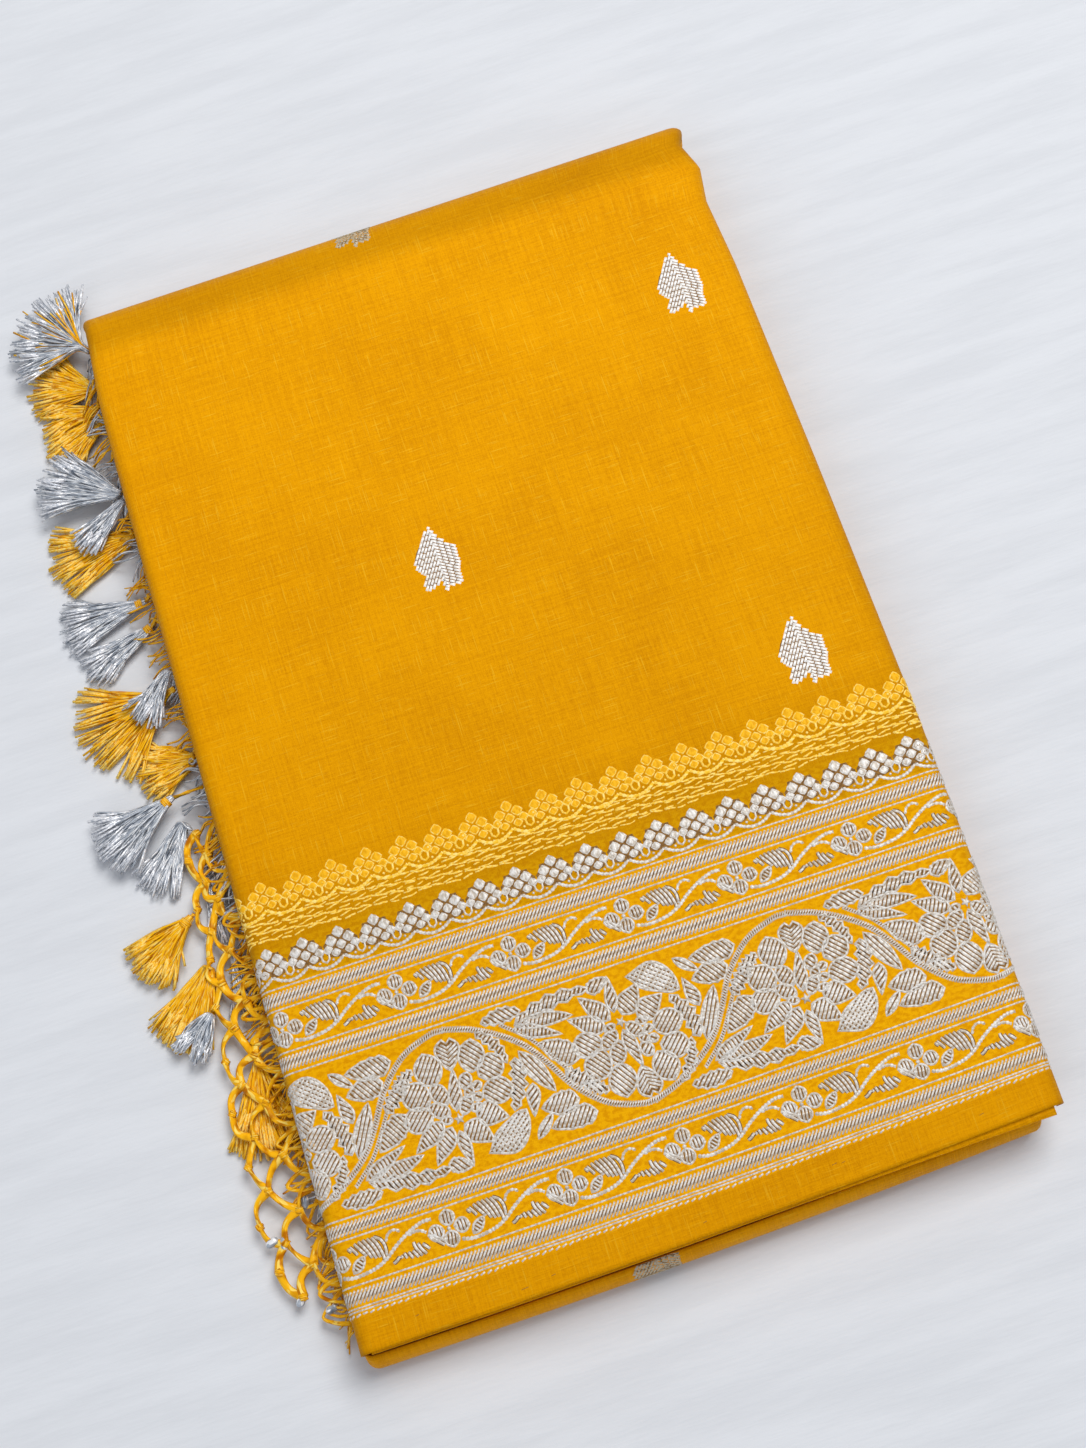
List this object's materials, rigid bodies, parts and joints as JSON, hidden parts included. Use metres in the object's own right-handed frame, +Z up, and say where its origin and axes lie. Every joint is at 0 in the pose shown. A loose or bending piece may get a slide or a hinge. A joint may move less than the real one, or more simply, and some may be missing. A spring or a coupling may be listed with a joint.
{
  "type": "folded saree",
  "caption": "Silk saree folded to a flat stack, with a woven metallic border across the lower end and a knotted fringe with tassels along one side.",
  "frame": {"origin": "middle of the flat underside, on the surface that the stack lies on", "axes": "+X along the short side, away from the fringe; +Y along the long side, towards the top fold; +Z up"},
  "size_m": [0.2731, 0.4028, 0.0227],
  "materials": {
    "cloth": "plain woven silk, soft sheen",
    "layers": "plain woven silk, seen at its folds",
    "fringe": "twisted and knotted silk ribbon",
    "tassel_gold": "loose golden silk thread",
    "tassel_silver": "loose silver metallic thread"
  },
  "bodies": {
    "root": {"hidden_layers": "layers", "upper_stretch": "cloth", "second_sheet": "cloth", "under_stretch": "cloth", "fringe_net": "fringe", "tassel_01": "tassel_silver", "tassel_02": "tassel_gold", "tassel_03": "tassel_gold", "tassel_04": "tassel_gold", "tassel_05": "tassel_silver", "tassel_06": "tassel_silver", "tassel_07": "tassel_gold", "tassel_08": "tassel_silver", "tassel_09": "tassel_silver", "tassel_10": "tassel_gold", "tassel_11": "tassel_silver", "tassel_12": "tassel_gold", "tassel_13": "tassel_silver", "tassel_14": "tassel_silver", "tassel_15": "tassel_gold", "tassel_16": "tassel_gold", "tassel_17": "tassel_silver", "tassel_18": "tassel_silver", "tassel_19": "tassel_silver", "tassel_20": "tassel_gold"}
  },
  "joints": []
}
